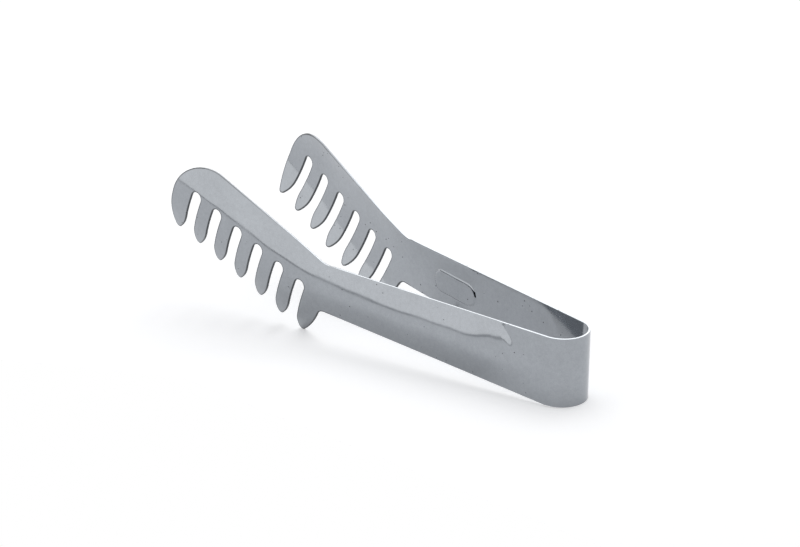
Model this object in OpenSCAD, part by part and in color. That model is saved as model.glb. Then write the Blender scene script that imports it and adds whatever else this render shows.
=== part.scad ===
// Spaghetti tongs pressed and bent from one strip of stainless steel sheet.
// The strip is drawn at its working lengths: the spring bow, two flat leaves,
// two dished handles and two toothed combs.
// The tongs lie as on a table: +X runs towards the combs, +Y to the left arm, +Z up.

/* [Strip] */
// Height of the strip at the bow
strip_h = 26.7; // [25:0.1:28.5]
// Thickness of the sheet
sheet_t = 0.9; // [0.8:0.1:1.2]

/* [Bow] */
// Outer radius of the bow
bow_r = 10; // [9:0.1:13]
// Lean of each arm away from the middle, in degrees
arm_splay = 6; // [5:0.1:7]
// Clearance at the line where each leaf starts to bend
flex_gap = 0.2; // [0.15:0.05:0.3]

/* [Handles] */
// Bow to elbow, along an arm
handle_len = 105.4; // [95:0.1:118]
// Height of the strip at the elbow
elbow_h = 19.4; // [18.5:0.1:20.5]
// Rise of the lower edge from the bow to the elbow
elbow_rise = 4.1; // [3:0.1:5]
// Flat leaf between the bow and the dish
leaf_len = 14; // [10:0.5:18]

/* [Dish] */
// Outside radius of the dish across the arm
dish_r = 56; // [48:1:64]
// Height of the dish's deepest line along the handle
dish_z = 13; // [12:0.1:14]
// Depth of that line below the back edge at the elbow
comb_dish = 13.6; // [13:0.1:14.2]
// Upward turn of that line at the elbow, in degrees
dish_turn = 20.7; // [18:0.1:23]
// Radius of that turn
elbow_r = 77; // [70:1:90]
// Outward turn of the comb at the elbow, in degrees
comb_flare = 0.4; // [0:0.1:1.2]

/* [Combs] */
// Upward turn of the comb at the elbow, in degrees
comb_angle = 21.3; // [18:0.1:25]
// Radius of the nose
nose_r = 18.8; // [17:0.1:20]
// Length of the nose's straight front
nose_flat = 3.6; // [1:0.1:5]
// Radius of the nose tooth's curved front
nose_front_r = 24; // [21:0.5:30]
// Rounding of the back edge at the elbow
elbow_round = 15; // [8:1:25]
// Depth of the slots' round roots below the back edge
root_depth = 13; // [12:0.1:14]
// Depth of the tooth tips below the back edge
comb_depth = 35.7; // [34:0.1:38]
// Number of slots
slot_count = 6; // [4:1:6]
// Distance from slot to slot
tooth_pitch = 11.48; // [11.2:0.01:11.8]
// Width of a slot
slot_w = 4.84; // [4.4:0.01:5.2]
// Front of the nose to the middle of the first slot
first_slot = 11.9; // [11.4:0.1:12.6]
// Elbow to the middle of the last slot's root, along the back edge
last_slot = 7.1; // [6.5:0.1:8.5]
// Forward lean of the slots, in degrees
slot_lean = 2.5; // [0:0.1:4]

/* [Teeth] */
// Radius of a tooth's rear side near its tip
tip_rear_r = 14.3; // [12:0.1:16]
// Radius of a tooth's front side near its tip
tip_front_r = 9.9; // [9:0.1:12]
// How much lower the front side starts to curve than the rear side
tip_skew = 1.6; // [1:0.1:3]
// Rounding of a tooth's tip
tip_r = 1.6; // [1:0.1:2]
// Radius of the last tooth's broad rear side
last_rear_r = 32; // [28:0.5:36]
// Distance of that side's rearmost line behind the elbow
last_back = 4.6; // [3.5:0.1:5.5]
// Depth of that side's rearmost line below the back edge
last_depth = 16.2; // [15:0.1:18]
// Fillet between the last tooth and the handle's lower edge
notch_r = 4; // [2:0.1:5]

/* [Pressed pad] */
// Length of the pad pressed into the right handle
pad_len = 24; // [18:1:30]
// Height of the pad
pad_h = 8; // [6:0.5:9]
// How far the pad stands out on the inner face
pad_rise = 0.5; // [0.3:0.1:0.6]
// Distance from the bow to the middle of the pad
pad_pos = 75; // [60:1:78]

/* [Hidden] */
$fn = 96;
steel = [0.66, 0.68, 0.70];
dished_steel = [0.61, 0.63, 0.65];
comb_steel = [0.56, 0.58, 0.61];
reach = 12; // how far a cutting prism runs past the sheet, each way
lead_in = 0.2; // degrees by which the elbow's sweep starts early, before it is cut to length
arc_steps = 8; // straight pieces in each rounded stretch of the outline

// Handle edges: heights at a distance s along the arm
low_slope = elbow_rise / handle_len;
top_slope = (strip_h - elbow_rise - elbow_h) / handle_len;
top_fall = atan(top_slope);
function low_z(s) = low_slope * s;
function top_z(s) = strip_h - top_slope * s;

// Elbow point and the comb's own directions in the arm's plane
elbow = [handle_len, top_z(handle_len)];
along = [cos(comb_angle), sin(comb_angle)];
across = [sin(comb_angle), -cos(comb_angle)];
// A point a along the back edge and b below it, placed in the arm's plane, and the way back
function comb_pt(p) = elbow + p[0] * along + p[1] * across;
function comb_direction(v) = [v * along, v * across];

// The comb begins where the dish's deepest line starts to turn up
dish_low = comb_pt([0, comb_dish]);
comb_start = dish_low[0] + (dish_z - dish_low[1]) / tan(dish_turn) - elbow_r * tan(dish_turn / 2);
// There the dish reaches the handle's top edge
dish_half = top_z(comb_start) - dish_z;
dish_centre = -sqrt(dish_r * dish_r - dish_half * dish_half);

// The comb runs from the elbow past its last and first slots to the nose
comb_len = last_slot + (slot_count - 1) * tooth_pitch + first_slot;
// A point x forward of a slot's root centre and y down along the slot, in comb terms
function slot_pt(i, x, y) = [
    comb_len - first_slot - i * tooth_pitch + x * cos(slot_lean) + y * sin(slot_lean),
    root_depth + slot_w / 2 - x * sin(slot_lean) + y * cos(slot_lean)];

// Points of an arc with both its ends, angles in degrees
function arc(c, r, from, to, steps = arc_steps) =
    [for (k = [0:steps]) let (t = from + (to - from) * k / steps) c + r * [cos(t), sin(t)]];
function angle_of(v) = atan2(v[1], v[0]);
// Crossing of two circles that lies deeper below the back edge, c1 being in front of c2
function crossing(c1, r1, c2, r2) =
    let (v = c2 - c1, d = norm(v), u = v / d, k = (r1 * r1 - r2 * r2 + d * d) / (2 * d))
    c1 + k * u + sqrt(r1 * r1 - k * k) * [u[1], -u[0]];

// A tooth's sides curve to its tip: the rear arc's centre lies forward, the front arc's behind
tooth_w = tooth_pitch - slot_w;
tip_below = crossing([tip_rear_r, 0], tip_rear_r - tip_r,
                     [tooth_w - tip_front_r, tip_skew], tip_front_r - tip_r)[1] + tip_r;
side_len = (comb_depth - root_depth) - slot_w / 2 - tip_below;
function rear_c(i) = slot_pt(i, slot_w / 2 + tip_rear_r, side_len);
function front_c(i) = slot_pt(i, -slot_w / 2 - tip_front_r, side_len + tip_skew);
nose_c = [comb_len - nose_r, nose_r];
nose_front_c = [comb_len - nose_front_r, nose_r + nose_flat];
last_c = [last_rear_r - last_back, last_depth];

// Outline round a tip: front arc, tip, rear arc
function tip_path(front_c, front_r, rear_c, rear_r, from, to) =
    let (tip_c = crossing(rear_c, rear_r - tip_r, front_c, front_r - tip_r),
         at_front = angle_of(tip_c - front_c),
         at_rear = angle_of(tip_c - rear_c))
    concat(arc(front_c, front_r, from, at_front),
           arc(tip_c, tip_r, at_front, at_rear),
           arc(rear_c, rear_r, at_rear, to));

// A slot's round root, from its front side to its rear side
function root_path(i) = arc(slot_pt(i, 0, 0), slot_w / 2, -slot_lean, -180 - slot_lean, 12);

// Fillet that touches the handle's lower edge and the last tooth's rear side
last_at = comb_pt(last_c);
fillet_drop = notch_r * sqrt(1 + low_slope * low_slope);
fillet_lead = last_at[0] + low_slope * (last_at[1] + fillet_drop);
fillet_rest = pow(last_at[0], 2) + pow(last_at[1] + fillet_drop, 2) - pow(last_rear_r + notch_r, 2);
fillet_scale = 1 + low_slope * low_slope;
fillet_s = (fillet_lead - sqrt(fillet_lead * fillet_lead - fillet_scale * fillet_rest)) / fillet_scale;
fillet_c = [fillet_s, low_z(fillet_s) - fillet_drop];
last_meet = angle_of(comb_direction(fillet_c - last_at));

// Outline from the nose to the last tooth, in comb terms
comb_side = concat(
    arc(nose_c, nose_r, -90, 0, 16),
    tip_path(nose_front_c, nose_front_r, rear_c(0), tip_rear_r, 0, 180 - slot_lean),
    [for (i = [0:slot_count - 2]) each concat(
        root_path(i),
        tip_path(front_c(i), tip_front_r, rear_c(i + 1), tip_rear_r, -slot_lean, 180 - slot_lean))],
    root_path(slot_count - 1),
    tip_path(front_c(slot_count - 1), tip_front_r, last_c, last_rear_r, -slot_lean,
             last_meet + (last_meet < 0 ? 360 : 0)));

// Back edge rounded where it turns up at the elbow
turn_c = elbow + elbow_round / cos((comb_angle + top_fall) / 2)
         * [-sin((comb_angle - top_fall) / 2), cos((comb_angle - top_fall) / 2)];

arm_outline = concat(
    [[flex_gap, low_z(flex_gap)], [flex_gap, top_z(flex_gap)]],
    arc(turn_c, elbow_round, -90 - top_fall, -90 + comb_angle),
    [for (p = comb_side) comb_pt(p)],
    arc(fillet_c, notch_r, angle_of(last_at - fillet_c), 90 + atan(low_slope)));

// Attitude on a table: on the bow's rear lower edge and the last teeth's tips
function arm_x(p) = p[0] * cos(arm_splay) - bow_r * sin(arm_splay);
rest_tilt = max([for (p = arm_outline) atan2(-p[1], arm_x(p) + bow_r)]);
rear_x = -bow_r * cos(rest_tilt) - strip_h * sin(rest_tilt);
front_x = max([for (p = arm_outline) arm_x(p) * cos(rest_tilt) - p[1] * sin(rest_tilt)]);

module at_rest() {
    translate([-(rear_x + front_x) / 2, 0, bow_r * sin(rest_tilt)])
        rotate([0, -rest_tilt, 0])
            children();
}

// Left arm's frame: x along the arm, y out from the sheet's outer face, z up
module left_arm() {
    at_rest()
        rotate([0, 0, arm_splay])
            translate([0, bow_r, 0])
                children();
}

module right_arm() {
    mirror([0, 1, 0])
        left_arm()
            children();
}

// Prism over a shape drawn along the arm and up, from inside the sheet's face to outside it
module prism(inside, outside) {
    translate([0, outside, 0])
        rotate([90, 0, 0])
            linear_extrude(height = inside + outside)
                children();
}

// Stretch of the arm's outline between two distances from the bow
module stretch(from, to) {
    intersection() {
        polygon(arm_outline);
        translate([from, -2 * comb_depth])
            square([to - from, 6 * comb_depth]);
    }
}

// Solid form of the handle's dish at radius r, with a round end towards the bow
module dish_form(r) {
    translate([leaf_len + dish_half, dish_centre, dish_z])
        rotate([0, 90, 0])
            rotate_extrude() {
                square([r, handle_len]);
                intersection() {
                    circle(r = r);
                    translate([0, -r])
                        square(r);
                }
            }
}

module pad_outline() {
    round_gap = pad_len - pad_h;
    translate([pad_pos, dish_z]) {
        square([round_gap, pad_h], center = true);
        for (end = [-1, 1])
            translate([end * round_gap / 2, 0])
                circle(d = pad_h);
    }
}

// Flat sheet with the dish standing out of it, cut to the strip's outline
module handle_blank() {
    intersection() {
        union() {
            prism(sheet_t, 0)
                square([2 * handle_len, 2 * strip_h]);
            dish_form(dish_r);
        }
        prism(sheet_t, reach)
            stretch(leaf_len, comb_start);
    }
}

module plain_handle() {
    difference() {
        handle_blank();
        dish_form(dish_r - sheet_t);
    }
}

// The pad is pressed in from outside: a shallow recess there, a flat-topped rise within
module padded_handle() {
    difference() {
        handle_blank();
        difference() {
            dish_form(dish_r - sheet_t);
            difference() {
                prism(reach, reach)
                    pad_outline();
                dish_form(dish_r - sheet_t - pad_rise);
            }
        }
        difference() {
            prism(reach, reach)
                pad_outline();
            dish_form(dish_r - pad_rise);
        }
    }
}

// Section of the dished sheet: x down from the dish's deepest line, y out of the arm
module dish_section() {
    translate([0, dish_centre])
        intersection() {
            difference() {
                circle(r = dish_r);
                circle(r = dish_r - sheet_t);
            }
            translate([-2 * comb_dish, dish_r / 2])
                square([comb_depth + 2 * comb_dish, dish_r]);
        }
}

// Sheet swept round the elbow along the dish's deepest line, then straight on to the nose
module dished_sweep() {
    translate([comb_start, 0, dish_z])
        rotate([0, 0, comb_flare])
            translate([0, 0, elbow_r]) {
                rotate([-90, 90 - dish_turn, 0])
                    rotate_extrude(angle = dish_turn + lead_in)
                        translate([elbow_r, 0])
                            dish_section();
                rotate([0, -dish_turn, 0])
                    translate([0, 0, -elbow_r])
                        rotate([0, 90, 0])
                            linear_extrude(height = comb_len + reach)
                                dish_section();
            }
}

module comb() {
    intersection() {
        dished_sweep();
        prism(reach, reach)
            stretch(comb_start, handle_len + 2 * comb_len);
    }
}

module spring_bow() {
    color(steel)
        at_rest()
            rotate(90 + arm_splay)
                rotate_extrude(angle = 180 - 2 * arm_splay)
                    translate([bow_r - sheet_t, 0])
                        square([sheet_t, strip_h]);
}

module leaf() {
    prism(sheet_t, 0)
        stretch(0, leaf_len);
}

module left_leaf() {
    color(steel)
        left_arm()
            leaf();
}

module left_handle() {
    color(dished_steel)
        left_arm()
            plain_handle();
}

module left_comb() {
    color(comb_steel)
        left_arm()
            comb();
}

module right_leaf() {
    color(steel)
        right_arm()
            leaf();
}

module right_handle() {
    color(dished_steel)
        right_arm()
            padded_handle();
}

module right_comb() {
    color(comb_steel)
        right_arm()
            comb();
}

spring_bow();
left_leaf();
left_handle();
left_comb();
right_leaf();
right_handle();
right_comb();
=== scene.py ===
"""Looks of the spaghetti tongs: one strip of satin stainless steel, bent at the bow,
dished along both handles and cut into teeth at both ends."""

import math

import bmesh
import bpy
from mathutils import Matrix, Vector
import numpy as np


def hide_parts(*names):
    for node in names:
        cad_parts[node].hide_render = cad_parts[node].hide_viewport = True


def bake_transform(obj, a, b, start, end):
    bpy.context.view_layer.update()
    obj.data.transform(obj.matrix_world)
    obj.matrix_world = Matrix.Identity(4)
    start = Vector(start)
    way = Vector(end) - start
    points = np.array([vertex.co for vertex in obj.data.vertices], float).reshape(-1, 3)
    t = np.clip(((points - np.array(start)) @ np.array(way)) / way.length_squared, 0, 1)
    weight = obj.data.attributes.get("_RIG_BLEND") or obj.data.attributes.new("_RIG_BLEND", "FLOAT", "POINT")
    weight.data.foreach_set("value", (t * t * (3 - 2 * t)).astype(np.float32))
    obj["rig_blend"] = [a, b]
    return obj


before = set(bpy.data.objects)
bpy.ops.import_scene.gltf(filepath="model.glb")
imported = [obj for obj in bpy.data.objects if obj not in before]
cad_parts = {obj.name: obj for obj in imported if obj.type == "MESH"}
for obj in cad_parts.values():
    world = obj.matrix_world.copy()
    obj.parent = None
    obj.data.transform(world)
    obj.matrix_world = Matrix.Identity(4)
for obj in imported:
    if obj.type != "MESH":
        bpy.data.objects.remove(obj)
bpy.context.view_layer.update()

# The strip in millimetres, in an arm's own frame: s along the arm from the bow,
# y out from the outer face, z up the strip. A span (from, to) is where something
# comes in, and it may run backwards.
MM = 0.001
STRIP_H = 26.7
SHEET = 0.9
BOW_R = 10.0
SPLAY = math.radians(6)
HALF_BOW = BOW_R * (math.pi / 2 - SPLAY)
LEAF = 14.0
LEFT, RIGHT = 1, -1

# How the tongs stand: tipped up by the lowest teeth, and shifted to the row frame
REST_TILT = math.radians(3.84914)
REST_SHIFT = (-85.3501, 0, 0.671296)

# Dish along the handle: its section's radius, middle, half width and centre, and the
# softness of the crease round it, which fades out towards the elbow
DISH_R = 56.0
DISH_Z = 13.0
DISH_HALF = 10.6025
DISH_CENTRE = -54.9871
CREASE = 0.16
CREASE_SPAN = (100, 80)

# Elbow that sweeps the dish up into the comb, and the comb's turn outwards
COMB_START = 102.023
ELBOW_R = 77.0
DISH_TURN = math.radians(20.7)
FLARE = math.radians(0.4)

# Press marks on the left arm. The upper half of the dish's end is flatter, and a
# shoulder goes round it; the shoulder starts inside the dish's edge.
END_R = 120.0
END_SPAN = (38, 18)
SHOULDER = 0.13
SHOULDER_W = 3.1
SHOULDER_IN = 1.1
SHOULDER_SPAN = (30, 17)
SHOULDER_RISE = (12, 18)

# The band above the dish leans in: its slope, and where it starts up the strip
LEAN = 0.08
LEAN_FROM = 22.6
LEAN_SOFT = 0.5
LEAN_START = (16, 23)
LEAN_END = (95, 75)

# Pad pressed into the right handle: a race track with rounded shoulders
PAD_AT = 75.0
PAD_HALF = 8.0
PAD_R = 4.0
PAD_RISE = 0.5
PAD_EDGE = 0.8

# Rounding of the cut edges, where along it the first ring lies, and the least share of
# it that counts as rounded
EDGE_R = 0.16
EDGE_MID = 0.29
ON_FACE = 1e-3

# Painted shade on the cut edges, a dark outline in place of the dark that they reflect: how far in it
# reaches, where it comes in along the teeth and along the back of the comb, and the line above which the
# back begins
EDGE_SHADE_REACH = 0.55
TOOTH_SHADE_SPAN = (98, 106)
BACK_SHADE_SPAN = (115, 160)
BACK_SHADE = 0.65
BACK_FROM = (100, 19)
BACK_SLOPE = 0.39

# The other cut edges get half as much painted shade where they face down
DOWN_RIM_SHADE = 0.5
DOWN_RIM_SHADE_SPAN = (0.65, 0.15)

# Pitch of the cuts that let the flat sheet take its shape, and how far they reach
BOW_PITCH = 0.5
ARM_PITCH = 1.0
PAD_PITCH = 0.2
PAD_MARGIN = 1.0
ARM_LENGTH = 190
ARM_REACH = (-12, 60)

# Welding distances, within one skin and between the skins of two nodes, and how close
# a point lies to a line that it is on
WELD = 0.001
WELD_SKINS = 0.02
ON_LINE = 0.01

# Where along the strip the bow's motion goes over into the arm's
BEND = (-1.0, LEAF - 1)

# The steel's colour, and the middle of its group of pits by the dish's end
STEEL = (0.344, 0.362, 0.385, 1)
PIT_GROUP = (16, 0.4, 17.5)

# Stage, in metres: the table's front edge, a hand's breadth in front of the left arm,
# how far the table goes back from it, and the grey strip along it that only reflections show, a painted dark
# line in the steel's reflection
TABLE_FRONT = ((-0.9, 0.076), (0.03, 0.081), (0.155, 0.150), (0.9, 0.165))
TABLE_DEPTH = 1.7
LINE_STRIP_DEPTH = 0.007
LINE_STRIP_LIFT = 0.0003

# The photograph's view: width in pixels, lens in millimetres, place in metres and
# turn in degrees
PHOTO_W = 800
LENS = 146.424
CAMERA_AT = (-0.847417, 0.766388, 0.453293)
CAMERA_TURN = (69.47187, 1.80778, -132.87337)


def placed(name, data):
    """Object in the scene that holds a mesh, a lamp or a camera."""
    piece = bpy.data.objects.new(name, data)
    bpy.context.scene.collection.objects.link(piece)
    return piece


# Shape


def ease(t):
    """Smooth step from 0 to 1."""
    t = min(max(t, 0), 1)
    return t * t * (3 - 2 * t)


def over(value, span):
    """Smooth step from 0 at the start of a span to 1 at its end."""
    start, end = span
    return ease((value - start) / (end - start))


def steps(low, high, pitch):
    """Even steps strictly between two ends."""
    count = round((high - low) / pitch)
    return [low + (high - low) * k / count for k in range(1, count)]


def arm_place(side):
    """From an arm's frame in millimetres to the row frame in metres."""
    return (
        Matrix.Diagonal((1, side, 1, 1))
        @ Matrix.Scale(MM, 4)
        @ Matrix.Translation(REST_SHIFT)
        @ Matrix.Rotation(-REST_TILT, 4, "Y")
        @ Matrix.Rotation(SPLAY, 4, "Z")
        @ Matrix.Translation((0, BOW_R, 0))
    )


def flat_skin(name):
    """Outer face of one node of the left arm, laid flat, as a mesh."""
    skin = bmesh.new()
    skin.from_mesh(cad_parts[name].data)
    bmesh.ops.transform(skin, matrix=arm_place(LEFT).inverted(), verts=skin.verts)
    bmesh.ops.remove_doubles(skin, verts=skin.verts, dist=WELD)
    skin.normal_update()
    # Only the faces that look outwards stay
    rest = [f for f in skin.faces if f.normal.y < 0.5]
    bmesh.ops.delete(skin, geom=rest, context="FACES")
    bmesh.ops.scale(skin, vec=(1, 0, 1), verts=skin.verts)
    bmesh.ops.remove_doubles(skin, verts=skin.verts, dist=WELD)
    skin.normal_update()
    bmesh.ops.dissolve_limit(
        skin,
        angle_limit=math.radians(0.2),
        use_dissolve_boundaries=False,
        verts=skin.verts,
        edges=skin.edges,
    )
    laid = bpy.data.meshes.new("skin")
    skin.to_mesh(laid)
    skin.free()
    return laid


def flat_outline():
    """The arm cut flat: one face with the exact outline of the left arm's nodes."""
    sheet = bmesh.new()
    for name in ("left_leaf", "left_handle", "left_comb"):
        laid = flat_skin(name)
        sheet.from_mesh(laid)
        bpy.data.meshes.remove(laid)
    bmesh.ops.remove_doubles(sheet, verts=sheet.verts, dist=WELD_SKINS)
    bmesh.ops.dissolve_faces(sheet, faces=sheet.faces, use_verts=False)
    # The strip's end goes back to the bow, and on past the middle of the bow
    end = sorted((v for v in sheet.verts if v.co.x < 0.5), key=lambda v: v.co.z)
    for v, height in zip(end, (0, STRIP_H)):
        v.co = (0, 0, height)
    edge = [e for e in sheet.edges if all(v in end for v in e.verts)]
    made = bmesh.ops.extrude_edge_only(sheet, edges=edge)["geom"]
    back = [g for g in made if isinstance(g, bmesh.types.BMVert)]
    bmesh.ops.translate(sheet, vec=(-HALF_BOW - 1, 0, 0), verts=back)
    bmesh.ops.dissolve_faces(sheet, faces=sheet.faces, use_verts=False)
    return sheet


def ring_cut_edge(sheet):
    """Rings along the cut edge: two where its corners are rounded over, one where the
    painted edge shade ends. Each point keeps its distance from the cut as its inset."""
    inset = sheet.verts.layers.float.new("inset")
    face = sheet.faces[:]
    rings = (EDGE_R * EDGE_MID, EDGE_R, EDGE_SHADE_REACH)
    for total, before in zip(rings, (0, *rings)):
        bmesh.ops.inset_region(
            sheet,
            faces=face,
            thickness=total - before,
            use_boundary=True,
            use_even_offset=True,
        )
        for v in face[0].verts:
            v[inset] = total


def score(sheet, at, across, window=None):
    """Cuts the flat sheet along one line, or only the part of it inside a window."""
    if window is None:
        geom = sheet.verts[:] + sheet.edges[:] + sheet.faces[:]
    else:
        low, high = window
        faces = []
        for f in sheet.faces:
            middle = f.calc_center_median()
            if low[0] < middle.x < high[0] and low[1] < middle.z < high[1]:
                faces.append(f)
        geom = list({e for f in faces for e in f.edges})
        geom += list({v for f in faces for v in f.verts}) + faces
    bmesh.ops.bisect_plane(sheet, geom=geom, dist=ON_LINE, plane_co=at, plane_no=across)


def score_to_bend(sheet, side):
    """Ends the flat sheet at the bow's middle and cuts it finely enough to be bent."""
    bmesh.ops.bisect_plane(
        sheet,
        geom=sheet.verts[:] + sheet.edges[:] + sheet.faces[:],
        dist=WELD,
        plane_co=(-HALF_BOW, 0, 0),
        plane_no=(1, 0, 0),
        clear_inner=True,
    )
    along = steps(-HALF_BOW, 0, BOW_PITCH) + [0.0] + steps(0, ARM_LENGTH, ARM_PITCH)
    for s in along:
        score(sheet, (s, 0, 0), (1, 0, 0))
    for z in steps(*ARM_REACH, ARM_PITCH):
        score(sheet, (0, 0, z), (0, 0, 1))
    if side == RIGHT:
        half, rise = PAD_HALF + PAD_R + PAD_MARGIN, PAD_R + PAD_MARGIN
        window = (PAD_AT - half, DISH_Z - rise), (PAD_AT + half, DISH_Z + rise)
        for s in steps(PAD_AT - half, PAD_AT + half, PAD_PITCH):
            score(sheet, (s, 0, 0), (1, 0, 0), window)
        for z in steps(DISH_Z - rise, DISH_Z + rise, PAD_PITCH):
            score(sheet, (0, 0, z), (0, 0, 1), window)


def handle_height(s, z):
    """Outer face of the leaf and handle, with a soft crease round the dish."""
    end = min(s - LEAF - DISH_HALF, 0)
    round_face = DISH_R**2 - (z - DISH_Z) ** 2 - end**2
    height = DISH_CENTRE + math.sqrt(max(round_face, 0))
    soft = CREASE * over(s, CREASE_SPAN)
    return (height + math.hypot(height, soft)) / 2


def comb_height(s, z):
    """Outer face of the elbow and comb: the dish's section swept up round the elbow."""
    y = 0.0
    run, rise = s - COMB_START, z - DISH_Z - ELBOW_R
    # The flare tips the section, so its place depends on the height; six rounds settle
    for _ in range(6):
        out = run * math.cos(FLARE) + y * math.sin(FLARE)
        if math.atan2(out, -rise) < DISH_TURN:
            low = ELBOW_R - math.hypot(out, rise)
        else:
            low = -out * math.sin(DISH_TURN) + rise * math.cos(DISH_TURN) + ELBOW_R
        face = DISH_CENTRE + math.sqrt(DISH_R**2 - low**2)
        y = (face + run * math.sin(FLARE)) / math.cos(FLARE)
    return y


def press_marks(s, z):
    """How far the press marks of the left arm stand out from its outer face."""
    past_end = min(s - LEAF - DISH_HALF, 0)
    ring = math.hypot(past_end, z - DISH_Z) - DISH_HALF + SHOULDER_IN
    flatter = (1 / DISH_R - 1 / END_R) * max(z - DISH_Z, 0) ** 2 / 2
    raised = SHOULDER * over(s, SHOULDER_SPAN) * over(z, SHOULDER_RISE)
    raised += flatter * over(s, END_SPAN)
    raised *= 1 - ease(ring / SHOULDER_W)
    above = max(z - LEAN_FROM, 0) * over(s, LEAN_START) * over(s, LEAN_END)
    return raised - LEAN * above**2 / (above + LEAN_SOFT)


def pad_depth(s, z):
    """How far the pad's place is pressed in from outside, with rounded shoulders."""
    beyond = math.hypot(max(abs(s - PAD_AT) - PAD_HALF, 0), z - DISH_Z) - PAD_R
    return PAD_RISE * ease(0.5 - beyond / PAD_EDGE)


def formed(s, z, side):
    """Where a point of the flat sheet goes on the outer face, and which way it faces."""
    if s < 0:
        turn = -s / BOW_R
        facing = Vector((-math.sin(turn), math.cos(turn), 0))
        return facing * BOW_R + Vector((0, -BOW_R, z)), facing

    def height(s, z):
        y = comb_height(s, z) if s > COMB_START else handle_height(s, z)
        return y - pad_depth(s, z) if side == RIGHT else y + press_marks(s, z)

    near = 0.02
    lean = 0.0
    if s > near:
        lean = (height(s + near, z) - height(s - near, z)) / (2 * near)
    tip = (height(s, z + near) - height(s, z - near)) / (2 * near)
    return Vector((s, height(s, z), z)), Vector((-lean, 1, -tip)).normalized()


def form(sheet, side):
    """Bends the flat sheet to the outer face. Each point keeps the way it faces, its
    share of painted edge shade, and whether it lies on the bow's middle, at the top or the bottom."""
    out = sheet.verts.layers.float_vector.new("out")
    crown = sheet.verts.layers.float.new("crown")
    edge_shade_share = sheet.verts.layers.float.new("edge_shade_share")
    for v in sheet.verts:
        s, z = v.co.x, v.co.z
        if z > BACK_FROM[1] + BACK_SLOPE * (s - BACK_FROM[0]):
            v[edge_shade_share] = BACK_SHADE * over(s, BACK_SHADE_SPAN)
        else:
            v[edge_shade_share] = over(s, TOOTH_SHADE_SPAN)
        if s < ON_LINE - HALF_BOW:
            v[crown] = 1 if z > STRIP_H / 2 else -1
        v.co, v[out] = formed(s, z, side)


def rounding(inset):
    """How far into the rounded edge a point lies: 0 on the face and 1 at the cut."""
    return max(EDGE_R - inset, 0) / EDGE_R


def thicken(sheet):
    """Gives the sheet its thickness and its rounded edges; returns the inner points."""
    made = bmesh.ops.extrude_face_region(
        sheet, geom=sheet.faces[:], use_keep_orig=True
    )["geom"]
    inner = {g for g in made if isinstance(g, bmesh.types.BMVert)}
    inset = sheet.verts.layers.float["inset"]
    out = sheet.verts.layers.float_vector["out"]
    for v in sheet.verts:
        drop = EDGE_R * (1 - math.sqrt(1 - rounding(v[inset]) ** 2))
        v.co -= Vector(v[out]) * (SHEET - drop if v in inner else drop)
    bmesh.ops.recalc_face_normals(sheet, faces=sheet.faces)
    sheet.normal_update()
    for f in sheet.faces:
        f.smooth = True
    return inner


def facings(sheet, inner):
    """Which way each point faces: exact on the faces and where the two halves meet, and
    left to the mesh on the rounded edges."""
    inset = sheet.verts.layers.float["inset"]
    crown = sheet.verts.layers.float["crown"]
    out = sheet.verts.layers.float_vector["out"]
    ways = []
    for v in sheet.verts:
        way = Vector(v[out]) * (-1 if v in inner else 1)
        into = rounding(v[inset])
        if into < ON_FACE:
            ways.append(way)
        elif v[crown]:
            up = Vector((0, 0, v[crown]))
            ways.append(way * math.sqrt(1 - into**2) + up * into)
        else:
            ways.append(Vector())
    return ways


def edge_shading(sheet):
    """How dark the painted edge shade makes each point: by the comb's cut edges, and on rims that face down.
    """
    inset = sheet.verts.layers.float["inset"]
    edge_shade_share = sheet.verts.layers.float["edge_shade_share"]
    edge_shades = []
    for v in sheet.verts:
        share = v[edge_shade_share] * min((EDGE_SHADE_REACH - v[inset]) / (EDGE_SHADE_REACH - EDGE_R), 1)
        if rounding(v[inset]) > ON_FACE:
            share = max(share, DOWN_RIM_SHADE * over(v.normal.z, DOWN_RIM_SHADE_SPAN))
        edge_shades.append(share)
    return edge_shades


def strip_half(name, side):
    """One arm with its half of the bow, as a closed sheet with softened edges."""
    sheet = flat_outline()
    ring_cut_edge(sheet)
    score_to_bend(sheet, side)
    form(sheet, side)
    inner = thicken(sheet)
    ways = facings(sheet, inner)
    edge_shades = edge_shading(sheet)
    place = arm_place(side)
    if side == RIGHT:
        bmesh.ops.reverse_faces(sheet, faces=sheet.faces)
    bmesh.ops.transform(sheet, matrix=place, verts=sheet.verts)
    layers = sheet.verts.layers
    for layer in ("inset", "crown", "edge_shade_share"):
        layers.float.remove(layers.float[layer])
    layers.float_vector.remove(layers.float_vector["out"])
    made = bpy.data.meshes.new(name)
    sheet.to_mesh(made)
    sheet.free()
    # The painted edge shade goes onto the mesh as a point attribute
    made.attributes.new("cut_edge", "FLOAT", "POINT").data.foreach_set("value", edge_shades)
    turn = place.to_3x3().normalized()
    made.normals_split_custom_set_from_vertices([turn @ way for way in ways])
    return placed(name, made)


def mid_strip(s, side):
    """Point in the middle of the strip's height and thickness, s along an arm."""
    return arm_place(side) @ Vector((s, -SHEET / 2, STRIP_H / 2))


# Finish


class Value:
    """A shader value; arithmetic on it adds the Math nodes that work it out."""

    def __init__(self, shop, socket):
        self.shop = shop
        self.socket = socket

    def math(self, operation, *others):
        sockets = dict(enumerate([self, *others]))
        return self.shop.add("ShaderNodeMath", {"operation": operation}, sockets)

    def __add__(self, other):
        return self.math("ADD", other)

    def __mul__(self, other):
        return self.math("MULTIPLY", other)

    def __sub__(self, other):
        return self.math("SUBTRACT", other)

    def __rsub__(self, other):
        return self * -1 + other

    def __lt__(self, other):
        return self.math("LESS_THAN", other)

    def __gt__(self, other):
        return self.math("GREATER_THAN", other)

    __radd__ = __add__
    __rmul__ = __mul__


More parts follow.
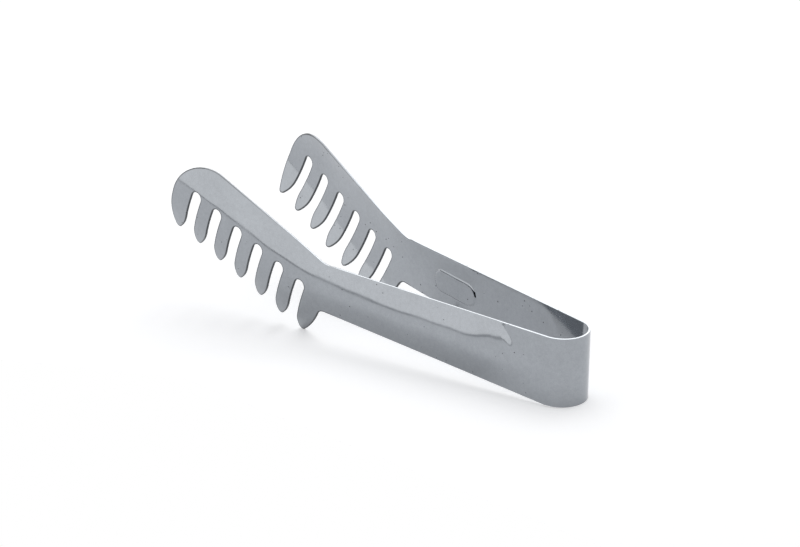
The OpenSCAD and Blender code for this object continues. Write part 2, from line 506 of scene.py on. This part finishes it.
class Shop:
    """Adds nodes to one material or world."""

    def __init__(self, owner):
        owner.use_nodes = True
        self.tree = owner.node_tree
        self.tree.nodes.clear()

    def add(self, kind, settings=None, sockets=None, out=0):
        """One node, with its settings and a ramp's stops set first, then the values and
        links of its sockets; gives the value that leaves it."""
        node = self.tree.nodes.new(kind)
        for name, value in (settings or {}).items():
            if name == "stops":
                ramp_stops = node.color_ramp.elements
                while len(ramp_stops) < len(value):
                    ramp_stops.new(1)
                for stop, (place, tone) in zip(ramp_stops, value):
                    stop.position = place
                    stop.color = (tone, tone, tone, 1)
            else:
                setattr(node, name, value)
        for name, value in (sockets or {}).items():
            if isinstance(value, Value):
                self.tree.links.new(value.socket, node.inputs[name])
            else:
                node.inputs[name].default_value = value
        return Value(self, node.outputs[out]) if node.outputs else None


def noise(place, scale, detail, rough, distort=0.0):
    """Noise over the object, from 0 to 1; the scale counts its features in a metre."""
    sockets = {
        "Vector": place,
        "Scale": scale,
        "Detail": detail,
        "Roughness": rough,
        "Distortion": distort,
    }
    return place.shop.add("ShaderNodeTexNoise", {}, sockets)


def ramp(value, stops):
    """A value put through stops, each a place from 0 to 1 with its tone."""
    return value.shop.add("ShaderNodeValToRGB", {"stops": stops}, {"Fac": value})


def measure(operation, place, other):
    """Distance to a point, or run along a direction, in metres."""
    sockets = {0: place, 1: other}
    settings = {"operation": operation}
    return place.shop.add("ShaderNodeVectorMath", settings, sockets, out="Value")


def pits(place):
    """Small pits: thin over the arms, thick by the dish's end, none on the bow."""
    shop = place.shop
    cell = {"Vector": place, "Scale": 340}
    from_middle = shop.add("ShaderNodeTexVoronoi", {}, cell, out="Distance")
    cell_tone = shop.add("ShaderNodeTexVoronoi", {}, cell, out="Color")
    chance = shop.add("ShaderNodeSeparateColor", {}, {"Color": cell_tone})
    left, right = (
        measure("DISTANCE", place, tuple(arm_place(side) @ Vector(PIT_GROUP)))
        for side in (LEFT, RIGHT)
    )
    # The group thins out from 2 to 6 mm; the bow lies behind x = -79 mm
    by_dish = 1 - ramp(left.math("MINIMUM", right) * 100, [(0.2, 0), (0.6, 1)])
    along = shop.add("ShaderNodeSeparateXYZ", {}, {"Vector": place}, out="X")
    field = ramp(noise(place, 30, 1, 0.5), [(0.3, 0), (0.62, 1)]) * (along > -0.079)
    few = chance > 1.2 - 1.1 * field - 0.8 * by_dish
    return ramp(from_middle, [(0.0, 1), (0.05, 1), (0.11, 0)]) * few


def satin_steel():
    """Stainless steel sheet with a near-mirror satin finish, pits, faint smudges, and painted shade that
    darkens and roughens its cut edges.
    """
    made = bpy.data.materials.new("satin_steel")
    shop = Shop(made)
    place = shop.add("ShaderNodeTexCoord", out="Object")
    grain = noise(place, 2600, 2, 0.6)
    fleck = noise(place, 700, 2, 0.5)
    smudge = noise(place, 60, 4, 0.6, 0.5)
    patch = noise(place, 18, 2, 0.5)
    ripple = noise(place, 110, 1, 0.5)
    pit = pits(place)
    # Painted shade on the cut edges: it darkens the colour there and raises the roughness
    edge = shop.add("ShaderNodeAttribute", {"attribute_name": "cut_edge"}, out="Fac")
    tone = 0.91 + 0.2 * smudge + 0.22 * (grain - 0.5) + 0.16 * (fleck - 0.5)
    dark = tone * (1 - 0.7 * pit) * (1 - 0.8 * edge)
    # Sockets 6 and 7 are the two colours of a Mix node, and 2 is the colour it gives
    colour = shop.add(
        "ShaderNodeMix",
        {"data_type": "RGBA", "blend_type": "MULTIPLY"},
        {"Factor": 1.0, 6: STEEL, 7: dark},
        out=2,
    )
    dull = ramp(smudge, [(0.42, 0), (0.7, 1)])
    rough = 0.05 + 0.05 * dull + 0.03 * grain + 0.4 * pit + 0.2 * edge
    # Metres of relief: a slow wave in the sheet, a finer one, pits and grain
    height = 0.0011 * patch + 0.00002 * ripple - 0.00006 * pit + 0.000002 * grain
    bump = shop.add(
        "ShaderNodeBump", {}, {"Strength": 1.0, "Distance": 1.0, "Height": height}
    )
    surface = shop.add(
        "ShaderNodeBsdfPrincipled",
        {},
        {"Base Color": colour, "Metallic": 1.0, "Roughness": rough, "Normal": bump},
    )
    shop.add("ShaderNodeOutputMaterial", {}, {"Surface": surface})
    return made


# Stage, light and camera


def rays(shop):
    """Whether a ray comes from the camera, and whether off or through a piece."""
    seen, mirrored, through = (
        shop.add("ShaderNodeLightPath", out=kind)
        for kind in ("Is Camera Ray", "Is Glossy Ray", "Is Transmission Ray")
    )
    return seen, mirrored + through


def tent_light():
    """World: white to the camera and in reflections, a plain soft level as light."""
    world = bpy.data.worlds.new("tent_light")
    bpy.context.scene.world = world
    shop = Shop(world)
    seen, mirrored = rays(shop)
    shown = seen + mirrored
    strength = 1.0 * shown + 0.45 * (1 - shown)
    light = shop.add(
        "ShaderNodeBackground", {}, {"Color": (1, 1, 1, 1), "Strength": strength}
    )
    shop.add("ShaderNodeOutputWorld", {}, {"Surface": light})


def table_white():
    """Matt white table; its own white shows to the camera and in reflections, with a painted shadow near the
    handles that only reflections see.
    """
    made = bpy.data.materials.new("table_white")
    shop = Shop(made)
    seen, mirrored = rays(shop)
    matt = shop.add("ShaderNodeBsdfDiffuse", {}, {"Color": (0.79, 0.797, 0.815, 1)})
    place = shop.add("ShaderNodeTexCoord", out="Object")

    def zone(way, low, high, stops):
        run = measure("DOT_PRODUCT", place, way)
        return ramp((run - low) * (1 / (high - low)), stops)

    # Painted shadow that only reflections see: less white close to the handles, so that they mirror a shaded
    # foot
    shade = (
        zone((-0.2, 1, 0), 0, 0.1, [(0.40, 1), (0.52, 0)])
        * zone((1, 0, 0), -0.1, 0.1, [(0.15, 0), (0.25, 1), (0.65, 1), (0.85, 0)])
        * zone((0, 1, 0), -0.03, 0.02, [(0.0, 0), (0.25, 1)])
    )
    strength = 0.38 * seen + (0.34 - 0.16 * shade) * mirrored
    glow = shop.add(
        "ShaderNodeEmission", {}, {"Color": (1, 1, 1, 1), "Strength": strength}
    )
    both = shop.add("ShaderNodeAddShader", {}, {0: matt, 1: glow})
    shop.add("ShaderNodeOutputMaterial", {}, {"Surface": both})
    return made


def line_strip_grey():
    """Plain grey of the strip that only reflections show, a painted dark line in the steel's reflection."""
    made = bpy.data.materials.new("line_strip_grey")
    shop = Shop(made)
    matt = shop.add("ShaderNodeBsdfDiffuse", {}, {"Color": (0.69, 0.7, 0.72, 1)})
    shop.add("ShaderNodeOutputMaterial", {}, {"Surface": matt})
    return made


def along_front(name, depth, lift, material):
    """Stage sheet that reaches back from the line of the table's front edge."""
    points = len(TABLE_FRONT)
    sheet = bmesh.new()
    bmesh.ops.create_grid(sheet, x_segments=points - 1, y_segments=1, size=1)
    corners = sorted(sheet.verts, key=lambda v: (v.co.y, v.co.x))
    for k, v in enumerate(corners):
        x, y = TABLE_FRONT[k % points]
        v.co = (x, y - depth if k < points else y, lift)
    made = bpy.data.meshes.new(name)
    sheet.to_mesh(made)
    sheet.free()
    made.materials.append(material)
    piece = placed(name, made)
    return piece


def table():
    """White table, and a grey strip along its front edge that only reflections show, a painted dark line in
    the steel's reflection.
    """
    along_front("table", TABLE_DEPTH, 0.0, table_white())
    # Grey strip seen only in reflections: a painted dark line in the steel's reflection
    line_strip = along_front("reflected_line_strip", LINE_STRIP_DEPTH, LINE_STRIP_LIFT, line_strip_grey())
    line_strip.visible_camera = False
    line_strip.visible_diffuse = False
    line_strip.visible_shadow = False


def lamp(name, azimuth, height, distance, size, power, floor=True):
    """Square softbox that faces the middle of the tongs; angles are in degrees."""
    light = bpy.data.lights.new(name, "AREA")
    light.shape = "SQUARE"
    light.size = size
    light.energy = power
    piece = placed(name, light)
    turn, tilt = math.radians(azimuth), math.radians(height)
    level = Vector((math.cos(turn), math.sin(turn), 0))
    out = level * math.cos(tilt) + Vector((0, 0, math.sin(tilt)))
    piece.location = out * distance
    piece.rotation_euler = out.to_track_quat("Z", "Y").to_euler()
    piece.visible_camera = False
    piece.visible_diffuse = floor


def camera():
    """Camera at the photograph's viewing angle, half a pixel off the middle."""
    lens = bpy.data.cameras.new("camera")
    lens.lens = LENS
    lens.sensor_width = 36
    lens.shift_x = -0.5 / PHOTO_W
    lens.shift_y = 0.5 / PHOTO_W
    lens.clip_start = 0.05
    lens.clip_end = 20
    piece = placed("camera", lens)
    piece.location = CAMERA_AT
    piece.rotation_euler = tuple(math.radians(angle) for angle in CAMERA_TURN)
    bpy.context.scene.camera = piece


camera()
tent_light()
table()
lamp("top_softbox", -55, 72, distance=1.3, size=1.25, power=8.2)
lamp("back_softbox", -58, 36, distance=1.15, size=1.1, power=6.8, floor=False)
lamp("front_softbox", 55, 6, distance=1.1, size=1.4, power=1.75)

steel = satin_steel()
left = strip_half("left_strip", LEFT)
right = strip_half("right_strip", RIGHT)
for strip in (left, right):
    strip.data.materials.append(steel)
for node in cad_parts.values():
    node.data.materials.clear()
    node.data.materials.append(steel)

for strip, body, side in ((left, "left_arm", LEFT), (right, "right_arm", RIGHT)):
    start, end = (mid_strip(s, side) for s in BEND)
    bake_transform(strip, "bow", body, start=start, end=end)
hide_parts("spring_bow", "left_leaf", "left_handle", "left_comb")
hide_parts("right_leaf", "right_handle", "right_comb")

bpy.context.scene.view_settings.view_transform = "Standard"
